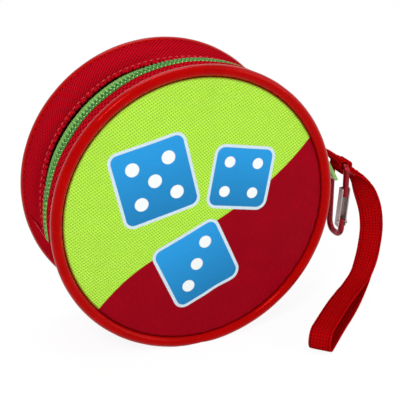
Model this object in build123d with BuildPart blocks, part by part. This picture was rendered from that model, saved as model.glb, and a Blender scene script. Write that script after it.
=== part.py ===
"""Round zip case of a word dice game, with its dice, sand timer, leaflet, strap and carabiner.

The case is a drum that stands on its rim. Y is the drum's axis, the printed front faces -Y,
the wrist strap is on the +X side, and the origin is on the floor below the front rim's centre.
"""

import os
from math import atan, cos, degrees, radians, sin

from build123d import *

os.makedirs("parts", exist_ok=True)

# Case shell
case_radius = 62.5
case_depth = 49.7
piping_radius = 2.4
floor_flat = 1.0
gusset_inset = 1.9
gusset_wall = 0.9
panel_thickness = 1.3
panel_crown = 1.5
binding_width = 1.9
binding_height = 1.7

# Front flap
fold_tilt = 8.0
fold_gap = 0.3
fold_clearance = 0.4

# Zip
zip_depth = 13.5
zip_opening = 10.4
tape_thickness = 0.5
tape_width = 9.0
tape_gap = 0.3
coil_gap = 1.0
coil_half_width = 2.6
coil_core = 0.5
tooth_height = 1.8
tooth_pitch = 1.8
shank_width = 0.8
head_width = 1.2
head_length = 0.9
head_chamfer = 0.25
fixed_zip_angle = 17.0
zip_end_gap = 0.3

# Slider and puller
slider_park_angle = 8.0
slider_length = 10.6
slider_nose_width = 6.4
slider_side_clearance = 0.4
slider_plate = 1.3
slider_clearance = 0.3
post_thickness = 0.5
post_length = 2.6
bridge_width = 2.4
bridge_length = 5.2
bridge_wall = 1.0
bar_radius = 0.7
bar_clearance = 0.35
bar_stand_off = 0.5
puller_length = 21.5
puller_width = 5.6
puller_thickness = 1.2
puller_rim = 1.5
puller_end_flat = 0.2
puller_tilt = 12.4

# Strap tab and carabiner
tab_depth = 21.6
tab_width = 9.0
tab_reach = 16.7
tab_root_angle = 1.0
tab_crest_share = 0.27
tab_crest_rise = 8.0
tab_shoulder_share = 0.64
tab_shoulder_rise = 5.8
tab_wrap_rise = 1.5
webbing_thickness = 1.1
eye_height = 3.0
wire_radius = 1.4
eye_clearance = 0.3
carabiner_width = 13.0
carabiner_height = 34.7
carabiner_foot = 10.9
top_bend = 2.5
foot_bend = 4.5
nose_height = 14.0
hinge_height = 7.2
wire_past_rivet = 1.6
gate_wall = 0.5
gate_side_clearance = 0.15
gate_web_clearance = 0.5
gate_web_start = 0.8
gate_lip = 0.8
gate_overlap = 4.0
gate_ear = 2.3
rivet_radius = 0.55
rivet_clearance = 0.1
rivet_head = 0.35

# Wrist strap
strap_width = 10.0
strap_end_gap = 0.3
strap_sewn_share = 0.3
sewn_sections = 4
strap_sections = 16
twist_share = 0.3
lying_start = 0.4
lying_share = 0.3
loop_opening = 8.5
opening_start = 0.2
opening_share = 0.6
across_start = Vector(0, -1, 0)
across_hanging = Vector(0.9, -0.43, 0)
across_lying = Vector(0.63, -0.77, 0)
# Each row: how far out from the eye, how far back from the tab, and the share of the drop still to go
strap_rows = [
    (3.4, 0.0, 0.970),
    (8.4, -1.0, 0.888),
    (13.4, -2.2, 0.739),
    (16.4, -3.6, 0.549),
    (15.0, -5.6, 0.337),
    (10.0, -8.8, 0.1535),
    (3.0, -14.4, 0.049),
    (-6.0, -22.6, 0.003),
    (-17.8, -34.0, 0.0),
    (-31.9, -48.2, 0.0),
]
strap_floor_gap = 0.2

# Contents
die_size = 16.0
die_chamfer = 1.2
dice_per_row = 6
die_gap = 0.35
seat_gap = 0.3
front_row_depth = 13.0
row_pitch = 17.2
timer_back_gap = 0.8
timer_cap_radius = 11.0
timer_cap_sides = 12
timer_cap_thickness = 4.0
timer_length = 64.0
glass_radius = 8.2
glass_waist = 1.8
glass_wall = 0.8
sand_level = 0.55
leaflet_width = 70.0
leaflet_head_gap = 1.4
leaflet_thickness = 0.6
leaflet_gap = 0.1

# Sizes that follow from the ones above
drum_height = case_radius - floor_flat
piping_centre = case_radius - piping_radius
panel_radius = case_radius - 2 * piping_radius
gusset_outer = case_radius - gusset_inset
gusset_inner = gusset_outer - gusset_wall
gusset_back = case_depth - piping_radius
tape_outer = gusset_inner - tape_gap
tape_inner = tape_outer - tape_thickness
tooth_top = tape_outer + coil_core + tooth_height - head_chamfer
front_strip_edge = zip_depth - zip_opening / 2
back_strip_edge = zip_depth + zip_opening / 2
fold_depth = -piping_radius - fold_clearance
zip_start = fold_tilt
zip_end = fold_tilt + 180
fold_gap_angle = degrees(atan(fold_gap / 2 / gusset_outer))
zip_gap_angle = degrees(atan(zip_end_gap / gusset_outer))
slider_angle = fold_tilt + slider_park_angle
slider_bottom = tape_inner - slider_clearance - slider_plate
slider_top = tooth_top + slider_clearance + slider_plate
slider_width = zip_opening - 2 * slider_side_clearance
pivot_radius = slider_top + bar_radius + bar_clearance + bar_stand_off
eye_reach = case_radius + tab_reach
eye_inner = wire_radius + eye_clearance
eye_outer = eye_inner + webbing_thickness
die_seat = ((gusset_inner - seat_gap) ** 2 - (die_size / 2) ** 2) ** 0.5
inner_face = die_seat - die_size
half_spacing = atan((die_size + die_gap) / 2 / inner_face)
die_spacing = degrees(2 * half_spacing)
timer_depth = gusset_back - timer_back_gap - timer_cap_radius
DRUM = Axis((0, 0, drum_height), (0, -1, 0))


def save(piece, label):
    """Name a finished piece and write it to its own file."""
    piece.part.label = label
    export_step(piece.part, f"parts/{label}.step")


def point_at(radius, angle, depth=0.0):
    """A point of the drum, by its distance from the axis, its angle above +X and its depth."""
    turn = radians(angle)
    return Vector(radius * cos(turn), depth, drum_height + radius * sin(turn))


def radial_plane(angle):
    """A plane through the drum's axis: x is the distance from the axis and y is the depth."""
    turn = radians(angle)
    return Plane(
        origin=(0, 0, drum_height),
        x_dir=(cos(turn), 0, sin(turn)),
        z_dir=(-sin(turn), 0, cos(turn)),
    )


def tangent_plane(radius, angle, depth):
    """A plane that touches the drum: x runs down along the zip and y is the depth."""
    turn = radians(angle)
    return Plane(
        origin=point_at(radius, angle, depth),
        x_dir=(sin(turn), 0, -cos(turn)),
        z_dir=(cos(turn), 0, sin(turn)),
    )


def band(radius_in, radius_out, depth_in, depth_out):
    """A rectangle of a radial sketch, by its two radii and its two depths."""
    middle = ((radius_in + radius_out) / 2, (depth_in + depth_out) / 2)
    with Locations(middle):
        Rectangle(radius_out - radius_in, depth_out - depth_in)


def make_hoop(label, start, end, radius_in, radius_out, depth_in, depth_out):
    """A strip of fabric or tape bent round the drum from one angle to the other."""
    with BuildPart() as hoop:
        with BuildSketch(radial_plane(start)):
            band(radius_in, radius_out, depth_in, depth_out)
        revolve(axis=DRUM, revolution_arc=end - start)
    save(hoop, label)


def make_piping(label, start, end, depth, flattened):
    """A piece of the round edge piping, flattened where the case stands on it."""
    with BuildPart() as piping:
        with BuildSketch(radial_plane(start)):
            with Locations((piping_centre, depth)):
                Circle(piping_radius)
        revolve(axis=DRUM, revolution_arc=end - start)
        if flattened:
            split(bisect_by=Plane.XY, keep=Keep.TOP)
    save(piping, label)


def make_panel(label, start, end, edge_depth, outward):
    """A crowned round panel or half panel, one sheet thick, that bulges a little outward."""
    outer_edge = edge_depth + outward * panel_thickness / 2
    inner_edge = edge_depth - outward * panel_thickness / 2
    with BuildPart() as panel:
        with BuildSketch(radial_plane(start)):
            with BuildLine():
                outer_middle = (0, outer_edge + outward * panel_crown)
                inner_middle = (0, inner_edge + outward * panel_crown)
                outer = TangentArc(outer_middle, (panel_radius, outer_edge), tangent=(1, 0))
                inner = TangentArc(inner_middle, (panel_radius, inner_edge), tangent=(1, 0))
                Line(outer @ 0, inner @ 0)
                Line(outer @ 1, inner @ 1)
            make_face()
        revolve(axis=DRUM, revolution_arc=end - start)
    save(panel, label)


def coil_teeth(start, end, depth, side):
    """One half of the coil: a sewn core along the tape with a row of headed teeth on it."""
    count = int(radians(end - start) * tooth_top / tooth_pitch)
    step = (end - start) / count
    rise = coil_core + tooth_height - head_chamfer
    inner_side = depth + side * coil_gap / 2
    with BuildSketch(radial_plane(start)) as core:
        edges = sorted((inner_side, inner_side + side * coil_half_width))
        band(tape_outer, tape_outer + coil_core, *edges)
    revolve(core.sketch, axis=DRUM, revolution_arc=end - start)
    for width, length, height in (
        (shank_width, coil_half_width, rise - head_chamfer),
        (head_width, head_length, rise),
    ):
        with BuildSketch(Plane((0, inner_side, drum_height), (1, 0, 0), (0, -1, 0))) as teeth:
            with PolarLocations(tape_outer, count, start + step / 2, end - start):
                Polygon(
                    (coil_core / 2, -width / 2),
                    (height - head_chamfer, -width / 2),
                    (height, head_chamfer - width / 2),
                    (height, width / 2 - head_chamfer),
                    (height - head_chamfer, width / 2),
                    (coil_core / 2, width / 2),
                    align=None,
                )
        extrude(teeth.sketch, amount=-side * length)


def make_coil(label, start, end, side):
    """A half coil on its own, along the tape of that side."""
    with BuildPart() as coil:
        coil_teeth(start, end, zip_depth, side)
    save(coil, label)


def make_zip_end(label, start, end):
    """The sewn-down end of the front tape, with its piece of coil, where the slider parks."""
    with BuildPart() as stop:
        with BuildSketch(radial_plane(start)):
            band(tape_inner, tape_outer, zip_depth - tape_width, zip_depth - coil_gap / 2)
        revolve(axis=DRUM, revolution_arc=end - start)
        coil_teeth(start, end, zip_depth, -1)
    save(stop, label)


# Panels, piping and gusset that stay still
lid_start = zip_start + fold_gap_angle
lid_end = zip_end - fold_gap_angle
base_start = zip_end + fold_gap_angle
base_end = zip_start + 360 - fold_gap_angle

make_piping("back_piping", 0, 360, case_depth, True)
make_panel("back_panel", 0, 360, case_depth, 1)
make_panel("front_panel_lower", base_start, base_end, 0, -1)
make_piping("front_piping_lower", base_start, base_end, 0, True)
make_hoop("base_gusset", zip_end, zip_start + 360, gusset_inner, gusset_outer, piping_radius, gusset_back)
make_hoop("back_gusset", zip_start, zip_end, gusset_inner, gusset_outer, back_strip_edge, gusset_back)
make_hoop(
    "back_binding", 0, 360,
    gusset_inner - binding_height, gusset_inner, gusset_back - binding_width, gusset_back,
)

# Zip halves that stay still
make_hoop(
    "zip_tape_back", zip_start, zip_end,
    tape_inner, tape_outer, zip_depth + coil_gap / 2, zip_depth + tape_width,
)
make_coil("zip_coil_back", zip_start, zip_end, 1)
make_zip_end("zip_end_right", zip_start, zip_start + fixed_zip_angle - zip_gap_angle)
make_zip_end("zip_end_left", zip_end - fixed_zip_angle + zip_gap_angle, zip_end)

# Front flap that folds forward
flap_zip_start = zip_start + fixed_zip_angle + zip_gap_angle
flap_zip_end = zip_end - fixed_zip_angle - zip_gap_angle
make_panel("front_panel_upper", lid_start, lid_end, 0, -1)
make_piping("front_piping_upper", lid_start, lid_end, 0, False)
make_hoop("front_gusset_strip", lid_start, lid_end, gusset_inner, gusset_outer, piping_radius, front_strip_edge)
make_hoop(
    "zip_tape_front", flap_zip_start, flap_zip_end,
    tape_inner, tape_outer, zip_depth - tape_width, zip_depth - coil_gap / 2,
)
make_coil("zip_coil_front", flap_zip_start, flap_zip_end, -1)

# Slider: two plates joined by a post between the coils, with a channel for each
channel_half = coil_gap / 2 + coil_half_width + slider_clearance
with BuildPart() as slider_body:
    with BuildSketch(tangent_plane(slider_bottom, slider_angle, zip_depth)):
        with BuildLine():
            Polyline(
                (-slider_length / 2, -slider_nose_width / 2),
                (0, -slider_width / 2),
                (slider_length / 2, -slider_width / 2),
                (slider_length / 2, slider_width / 2),
                (0, slider_width / 2),
                (-slider_length / 2, slider_nose_width / 2),
                close=True,
            )
        plate_outline = make_face()
        fillet(plate_outline.vertices(), slider_plate)
    extrude(amount=slider_top - slider_bottom)
    with BuildSketch(radial_plane(slider_angle - fixed_zip_angle)):
        band(
            tape_inner - slider_clearance, tooth_top + slider_clearance,
            zip_depth - channel_half, zip_depth + channel_half,
        )
        band(
            tape_inner - slider_clearance, tape_outer + slider_clearance,
            zip_depth - slider_width, zip_depth + slider_width,
        )
    revolve(axis=DRUM, revolution_arc=2 * fixed_zip_angle, mode=Mode.SUBTRACT)
    with BuildSketch(tangent_plane(slider_bottom + slider_plate / 2, slider_angle, zip_depth)):
        with Locations((slider_length / 2 - post_length, 0)):
            Rectangle(post_length, post_thickness)
    extrude(amount=slider_top - slider_bottom - slider_plate)
    pivot_plane = Plane(
        origin=point_at(pivot_radius, slider_angle, zip_depth),
        x_dir=tangent_plane(pivot_radius, slider_angle, zip_depth).x_dir,
        z_dir=(0, -1, 0),
    )
    arch_foot = slider_top - pivot_radius - slider_plate / 4
    arch_top = bar_radius + bar_clearance + bridge_wall
    with BuildSketch(pivot_plane):
        with Locations((0, (arch_foot + arch_top) / 2)):
            arch = Rectangle(bridge_length, arch_top - arch_foot)
        fillet(arch.vertices().group_by(Axis.Y)[-1], bridge_wall)
        Circle(bar_radius + bar_clearance, mode=Mode.SUBTRACT)
    extrude(amount=bridge_width / 2, both=True)
save(slider_body, "slider_body")

# Puller: an open oblong ring whose bar runs through the slider's bridge
hang = radians(slider_angle - 90 + puller_tilt)
puller_plane = Plane(
    origin=point_at(pivot_radius, slider_angle, zip_depth),
    x_dir=(cos(hang), 0, sin(hang)),
    z_dir=(-sin(hang), 0, cos(hang)),
)
with BuildPart() as puller:
    with BuildSketch(puller_plane):
        with Locations((puller_length / 2 - bar_radius, 0)):
            ring = Rectangle(puller_length, puller_width)
        fillet(ring.vertices().sort_by(Axis.Z)[:2], (puller_width - puller_end_flat) / 2)
        window = puller_length - puller_rim
        with Locations((window / 2 - bar_radius, 0)):
            Rectangle(window, puller_width - 2 * puller_rim, mode=Mode.SUBTRACT)
    extrude(amount=puller_thickness / 2, both=True)
    with BuildSketch(Plane.XZ.offset(-zip_depth)):
        with Locations((puller_plane.origin.X, puller_plane.origin.Z)):
            Circle(bar_radius)
    extrude(amount=puller_width / 2, both=True)
save(puller, "puller")

# Webbing tab, sewn to the seam at the zip's end and folded round the carabiner's wire
eye_centre = Vector(eye_reach, tab_depth, drum_height + eye_height)
with BuildPart() as strap_tab:
    with BuildLine() as tab_run:
        Spline(
            point_at(gusset_inner, fold_tilt + tab_root_angle, tab_depth),
            Vector(case_radius + tab_crest_share * tab_reach, tab_depth, eye_centre.Z + tab_crest_rise),
            Vector(case_radius + tab_shoulder_share * tab_reach, tab_depth, eye_centre.Z + tab_shoulder_rise),
            eye_centre + Vector(-eye_inner, 0, tab_wrap_rise),
        )
    with BuildSketch(Plane(origin=tab_run.line @ 0, x_dir=(0, 1, 0), z_dir=tab_run.line % 0)):
        Rectangle(tab_width, 2 * webbing_thickness)
    sweep()
    with BuildSketch(Plane.XZ.offset(-tab_depth)):
        with Locations((eye_centre.X, eye_centre.Z)):
            Circle(eye_outer)
    extrude(amount=tab_width / 2, both=True)
    with BuildSketch(Plane.XZ.offset(-tab_depth)):
        with Locations((eye_centre.X, eye_centre.Z)):
            Circle(eye_inner)
        with Locations((0, drum_height)):
            Circle(gusset_outer)
    extrude(amount=tab_width, both=True, mode=Mode.SUBTRACT)
save(strap_tab, "strap_tab")

# Carabiner: a bent wire with a rivet hole near its lower end
spine = tab_depth + carabiner_width / 2
nose = tab_depth - carabiner_width / 2
foot = spine - carabiner_foot
top = eye_centre.Z
bottom = top - carabiner_height
gate_pivot = Vector(eye_reach, foot, bottom + hinge_height)
with BuildPart() as carabiner_body:
    with BuildLine() as wire:
        FilletPolyline(
            (eye_reach, nose, top - nose_height),
            (eye_reach, nose, top),
            (eye_reach, spine, top),
            (eye_reach, spine, bottom),
            (eye_reach, foot, bottom),
            gate_pivot + Vector(0, 0, wire_past_rivet),
            radius=[top_bend, top_bend, foot_bend, foot_bend],
        )
    with BuildSketch(Plane(origin=wire.line @ 0, z_dir=wire.line % 0)):
        Circle(wire_radius)
    sweep()
    with BuildSketch(Plane.YZ.offset(eye_reach)):
        with Locations((gate_pivot.Y, gate_pivot.Z)):
            Circle(rivet_radius)
    extrude(amount=2 * wire_radius, both=True, mode=Mode.SUBTRACT)
save(carabiner_body, "carabiner_body")

# Gate: a folded sheet channel, open outward, that runs from its ears on the rivet up past the nose
channel_inner = wire_radius + gate_side_clearance
channel_outer = channel_inner + gate_wall
web_inner = wire_radius + gate_web_clearance
web_outer = web_inner + gate_wall
nose_middle = Vector(eye_reach, nose, top - nose_height + gate_overlap / 2)
gate_length = (nose_middle - gate_pivot).length + gate_overlap / 2
gate_plane = Plane(origin=gate_pivot, x_dir=nose_middle - gate_pivot, z_dir=(1, 0, 0))
with BuildPart() as gate:
    with BuildSketch(gate_plane):
        with Locations(((gate_length - gate_ear) / 2, (gate_lip - web_outer) / 2)):
            gate_side = Rectangle(gate_length + gate_ear, gate_lip + web_outer)
        fillet(gate_side.vertices(), gate_wall)
        Circle(rivet_radius + rivet_clearance, mode=Mode.SUBTRACT)
    extrude(amount=channel_outer, both=True)
    with BuildSketch(gate_plane):
        with Locations(((gate_length - gate_ear) / 2, (gate_ear - web_inner) / 2)):
            Rectangle(2 * gate_length, gate_ear + web_inner)
        with Locations((gate_web_start - gate_ear, -web_inner)):
            Rectangle(2 * gate_ear, 2 * web_inner)
    extrude(amount=channel_inner, both=True, mode=Mode.SUBTRACT)
save(gate, "gate")

# Gate rivet, with a thin head outside each ear
rivet_half = channel_outer + rivet_clearance
with BuildPart() as gate_rivet:
    with BuildSketch(Plane.YZ.offset(eye_reach)):
        with Locations((gate_pivot.Y, gate_pivot.Z)):
            Circle(rivet_radius)
    extrude(amount=rivet_half, both=True)
    for side in (1, -1):
        with BuildSketch(Plane.YZ.offset(eye_reach + side * rivet_half)):
            with Locations((gate_pivot.Y, gate_pivot.Z)):
                Circle(2 * rivet_radius)
        extrude(amount=side * rivet_head)
save(gate_rivet, "gate_rivet")

# Wrist strap: a doubled webbing loop, sewn flat near the tab, that twists as it hangs
# and lies on the floor, where its two layers part like a drop with a round end
strap_rest = webbing_thickness + strap_floor_gap
strap_route = [
    Vector(eye_reach + out, tab_depth + back, strap_rest + (eye_centre.Z - strap_rest) * share)
    for out, back, share in strap_rows
]


def smooth(value):
    """Ease from 0 to 1."""
    value = min(max(value, 0), 1)
    return value * value * (3 - 2 * value)


def strap_frame(run, share):
    """The place, width direction and outward direction of the strap at a share of its run."""
    along = run.tangent_at(share)
    hanging = smooth(share / twist_share)
    lying = smooth((share - lying_start) / lying_share)
    across = across_start * (1 - hanging) + across_hanging * hanging
    across = across * (1 - lying) + across_lying * lying
    across = (across - along * across.dot(along)).normalized()
    return run.position_at(share), along, across, along.cross(across).normalized()


def strap_section(place, along, across, thickness):
    """One cross-section of the webbing."""
    with BuildSketch(Plane(origin=place, x_dir=across, z_dir=along)) as section:
        Rectangle(strap_width, thickness)
    return section.sketch


strap_run = Edge.make_spline(strap_route)
with BuildPart() as wrist_strap:
    sections = []
    for step in range(sewn_sections + 1):
        share = strap_sewn_share * step / sewn_sections
        place, along, across, outward = strap_frame(strap_run, share)
        sections.append(strap_section(place, along, across, 2 * webbing_thickness))
    loft(sections, ruled=True)
    for layer in (-1, 1):
        sections = []
        for step in range(strap_sections + 1):
            part_way = step / strap_sections
            share = strap_sewn_share + (1 - strap_sewn_share) * part_way
            place, along, across, outward = strap_frame(strap_run, share)
            lift = 0 if layer < 0 else loop_opening * smooth((part_way - opening_start) / opening_share)
            place += outward * (layer * webbing_thickness / 2 + lift)
            sections.append(strap_section(place, along, across, webbing_thickness))
        loft(sections, ruled=True)
    place, along, across, outward = strap_frame(strap_run, 1)
    with BuildSketch(Plane(origin=place + outward * loop_opening / 2, x_dir=along, z_dir=across)):
        Circle(loop_opening / 2 + webbing_thickness)
        Circle(loop_opening / 2, mode=Mode.SUBTRACT)
        with Locations((-loop_opening, 0)):
            Rectangle(2 * loop_opening, 4 * loop_opening, mode=Mode.SUBTRACT)
    extrude(amount=strap_width / 2, both=True)
    with BuildSketch(Plane.XZ.offset(-tab_depth)):
        with Locations((eye_centre.X, eye_centre.Z)):
            Circle(eye_outer + strap_end_gap)
    extrude(amount=strap_width, both=True, mode=Mode.SUBTRACT)
save(wrist_strap, "wrist_strap")


def make_die(label, centre, turn):
    """A cube with its edges broken, turned so that it sits against the bent wall."""
    with BuildPart() as die:
        with Locations(Location(centre, (0, turn, 0))):
            Box(die_size, die_size, die_size)
        chamfer(die.edges(), die_chamfer)
    save(die, label)


# Two rows of dice in the bottom of the case, chained along the curve, and one on top
number = 0
for row in range(2):
    for place in range(dice_per_row):
        number += 1
        lean = (place - (dice_per_row - 1) / 2) * die_spacing
        depth = front_row_depth + row * row_pitch
        centre = point_at(die_seat - die_size / 2, lean - 90, depth)
        make_die(f"die_{number:02d}", centre, -lean)
row_top = inner_face * cos(half_spacing) - (die_size / 2 - inner_face * sin(half_spacing)) * sin(half_spacing)
top_die_height = drum_height - row_top + seat_gap + die_size / 2
make_die("die_13", Vector(0, front_row_depth, top_die_height), 0)

# Sand timer lying on the back row of dice
end_lean = radians((dice_per_row - 1) / 2 * die_spacing)
perch_x = timer_length / 2
perch_z = -(inner_face - perch_x * sin(end_lean)) / cos(end_lean)
timer_height = drum_height + perch_z + seat_gap + timer_cap_radius
timer_axis = Axis((0, timer_depth, timer_height), (1, 0, 0))
glass_half = timer_length / 2 - timer_cap_thickness
for label, side in (("timer_cap_left", -1), ("timer_cap_right", 1)):
    with BuildPart() as timer_cap:
        with BuildSketch(Plane.YZ.offset(side * glass_half)):
            with Locations((timer_depth, timer_height)):
                RegularPolygon(timer_cap_radius, timer_cap_sides)
        extrude(amount=side * timer_cap_thickness)
    save(timer_cap, label)


def bulb_profile(radius, waist, reach):
    """Half of the waisted glass outline, closed along the timer's axis."""
    with BuildLine() as outline:
        upper = Spline(
            (-reach, radius),
            (-reach / 2, radius),
            (0, waist),
            (reach / 2, radius),
            (reach, radius),
            tangents=[(1, 0), (1, 0)],
        )
        Line(upper @ 0, (-reach, 0))
        Line((-reach, 0), (reach, 0))
        Line((reach, 0), upper @ 1)
    make_face(outline.edges())


timer_plane = Plane(origin=(0, timer_depth, timer_height), x_dir=(1, 0, 0), z_dir=(0, -1, 0))
with BuildPart() as timer_glass:
    with BuildSketch(timer_plane):
        bulb_profile(glass_radius, glass_waist, glass_half)
    revolve(axis=timer_axis)
    with BuildSketch(timer_plane):
        bulb_profile(glass_radius - glass_wall, glass_waist - glass_wall, glass_half - glass_wall)
    revolve(axis=timer_axis, mode=Mode.SUBTRACT)
save(timer_glass, "timer_glass")

with BuildPart() as timer_sand:
    with BuildSketch(timer_plane):
        bulb_profile(glass_radius - glass_wall, glass_waist - glass_wall, glass_half - glass_wall)
    revolve(axis=timer_axis)
    sand_surface = Plane.XY.offset(timer_height - (1 - sand_level) * glass_radius)
    split(bisect_by=sand_surface, keep=Keep.BOTTOM)
    split(bisect_by=Plane.YZ, keep=Keep.TOP)
save(timer_sand, "timer_sand")

# Folded rules leaflet standing against the back panel
leaflet_reach = gusset_inner - binding_height - seat_gap
leaflet_foot = (leaflet_reach ** 2 - (leaflet_width / 2) ** 2) ** 0.5
leaflet_head = ((leaflet_reach - leaflet_head_gap) ** 2 - (leaflet_width / 2) ** 2) ** 0.5
leaflet_back = gusset_back + leaflet_gap + leaflet_thickness
with BuildPart() as leaflet:
    with BuildSketch(Plane.XZ.offset(-leaflet_back)):
        with Locations((0, drum_height + (leaflet_head - leaflet_foot) / 2)):
            Rectangle(leaflet_width, leaflet_head + leaflet_foot)
    extrude(amount=leaflet_thickness)
save(leaflet, "leaflet")
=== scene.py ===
"""Round zip case of a word dice game, dressed with cloth, piping, webbing, metal and dice."""

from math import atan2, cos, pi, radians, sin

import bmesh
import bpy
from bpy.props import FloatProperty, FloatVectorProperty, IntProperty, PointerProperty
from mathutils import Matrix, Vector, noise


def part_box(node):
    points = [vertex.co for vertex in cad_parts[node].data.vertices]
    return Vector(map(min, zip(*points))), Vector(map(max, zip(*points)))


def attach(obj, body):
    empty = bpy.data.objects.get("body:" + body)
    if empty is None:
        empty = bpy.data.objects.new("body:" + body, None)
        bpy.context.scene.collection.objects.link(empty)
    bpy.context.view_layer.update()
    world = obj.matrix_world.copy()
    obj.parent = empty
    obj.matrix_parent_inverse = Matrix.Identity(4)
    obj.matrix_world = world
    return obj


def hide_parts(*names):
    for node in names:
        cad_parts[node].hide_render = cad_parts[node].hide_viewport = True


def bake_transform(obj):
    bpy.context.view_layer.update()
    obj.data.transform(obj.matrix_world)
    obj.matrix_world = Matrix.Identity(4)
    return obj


bl_info = {
    "name": "Round Zip Game Case",
    "version": (1, 0),
    "blender": (4, 5, 0),
    "location": "3D View > Sidebar > Game Case",
    "description": "Dresses a round zip game case, its dice and its strap",
    "category": "Object",
}

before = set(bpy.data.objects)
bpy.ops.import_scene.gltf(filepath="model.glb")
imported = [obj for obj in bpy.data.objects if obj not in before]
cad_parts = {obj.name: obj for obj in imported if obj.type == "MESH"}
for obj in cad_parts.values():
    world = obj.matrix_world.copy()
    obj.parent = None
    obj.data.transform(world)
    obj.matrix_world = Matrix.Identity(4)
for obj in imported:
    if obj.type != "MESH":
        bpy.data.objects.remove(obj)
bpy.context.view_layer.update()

MM = 0.001
ROOT_BODY = "case"
FLAP_BODY = "flap"
DICE_COUNT = 13
DICE_PER_ROW = 6
DICE_SPACING = radians(21.6)
LETTERS = "RTANESLOIDUMK"
LETTER_HEIGHT = 11 * MM
LETTER_DEPTH = 0.04 * MM
LETTER_LIFT = 0.03 * MM

back_low, back_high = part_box("back_piping")
_, strip_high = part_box("front_gusset_strip")
back_gusset_low, back_gusset_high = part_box("back_gusset")
panel_low, panel_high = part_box("back_panel")
CASE_RADIUS = (back_high.x - back_low.x) / 2
DRUM_HEIGHT = back_high.z - CASE_RADIUS
PIPING_RADIUS = (back_high.y - back_low.y) / 2
PIPING_CENTRE = CASE_RADIUS - PIPING_RADIUS
BACK_DEPTH = (back_low.y + back_high.y) / 2
PANEL_RADIUS = (panel_high.x - panel_low.x) / 2
GUSSET_RADIUS = (back_gusset_high.x - back_gusset_low.x) / 2
FOLD_TILT = radians(8.0)
ZIP_DEPTH = 13.5 * MM
FIXED_ZIP = radians(17.0)
TOOTH_STEP = radians(180.0 / 107)
coil_low, coil_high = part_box("zip_coil_back")
COIL_TOP = (coil_high.x - coil_low.x) / 2
WEAVE = 1.3 * MM
RED_GLINT = (1.0, 0.05, 0.04, 1.0)
wire_low, wire_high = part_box("carabiner_body")
WIRE_RADIUS = (wire_high.x - wire_low.x) / 2
wire_middle = (wire_low + wire_high) / 2
EYE = Vector((wire_middle.x, wire_middle.y, wire_high.z - WIRE_RADIUS))


class CaseSizes(bpy.types.PropertyGroup):
    """Sizes of the sewn case."""

    cloth: FloatProperty(
        name="Cloth", description="Thickness of the printed front", default=1.0 * MM, unit="LENGTH",
    )
    crown: FloatProperty(
        name="Crown", description="Bulge of the front panel", default=1.5 * MM, unit="LENGTH",
    )
    gusset: FloatProperty(
        name="Gusset", description="Thickness of the side cloth", default=0.9 * MM, unit="LENGTH",
    )
    stitch: FloatProperty(
        name="Stitch", description="Length of one stitch", default=1.9 * MM, unit="LENGTH",
    )
    stitch_pitch: FloatProperty(
        name="Stitch pitch", description="From stitch to stitch", default=2.6 * MM, unit="LENGTH",
    )
    webbing: FloatProperty(
        name="Webbing", description="Width of the strap", default=10.0 * MM, unit="LENGTH",
    )
    webbing_thickness: FloatProperty(
        name="Webbing thickness", description="One layer", default=1.1 * MM, unit="LENGTH",
    )
    zip_gape: FloatProperty(
        name="Gape", description="How far the side cloth stands off the zip",
        default=3.6 * MM, unit="LENGTH",
    )
    turns: IntProperty(
        name="Turn steps", description="Steps round a full turn of the case", default=288,
    )


class CaseColours(bpy.types.PropertyGroup):
    """Colours of the case."""

    lime: FloatVectorProperty(
        name="Lime", description="Front cloth", subtype="COLOR", default=(0.41, 0.74, 0.06),
    )
    red: FloatVectorProperty(
        name="Red", description="Side cloth", subtype="COLOR", default=(0.42, 0.003, 0.010),
    )
    print_red: FloatVectorProperty(
        name="Print red", description="Red printed field",
        subtype="COLOR", default=(0.28, 0.001, 0.008),
    )
    blue: FloatVectorProperty(
        name="Blue", description="Printed dice", subtype="COLOR", default=(0.018, 0.22, 0.50),
    )
    outline: FloatVectorProperty(
        name="Outline", description="Lines and pips of the print",
        subtype="COLOR", default=(0.56, 0.68, 0.74),
    )
    piping: FloatVectorProperty(
        name="Piping", description="Edge piping", subtype="COLOR", default=(0.36, 0.001, 0.001),
    )
    strap: FloatVectorProperty(
        name="Strap", description="Webbing", subtype="COLOR", default=(0.38, 0.002, 0.003),
    )
    zip_green: FloatVectorProperty(
        name="Zip green", description="Tape, thread and slider",
        subtype="COLOR", default=(0.25, 0.53, 0.11),
    )
    coil_green: FloatVectorProperty(
        name="Coil green", description="Coil", subtype="COLOR", default=(0.05, 0.24, 0.035),
    )
    ivory: FloatVectorProperty(
        name="Ivory", description="Dice", subtype="COLOR", default=(0.86, 0.82, 0.70),
    )


def sizes():
    """The scene's case sizes."""
    return bpy.context.scene.case_sizes


def colours():
    """The scene's case colours."""
    return bpy.context.scene.case_colours


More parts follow.
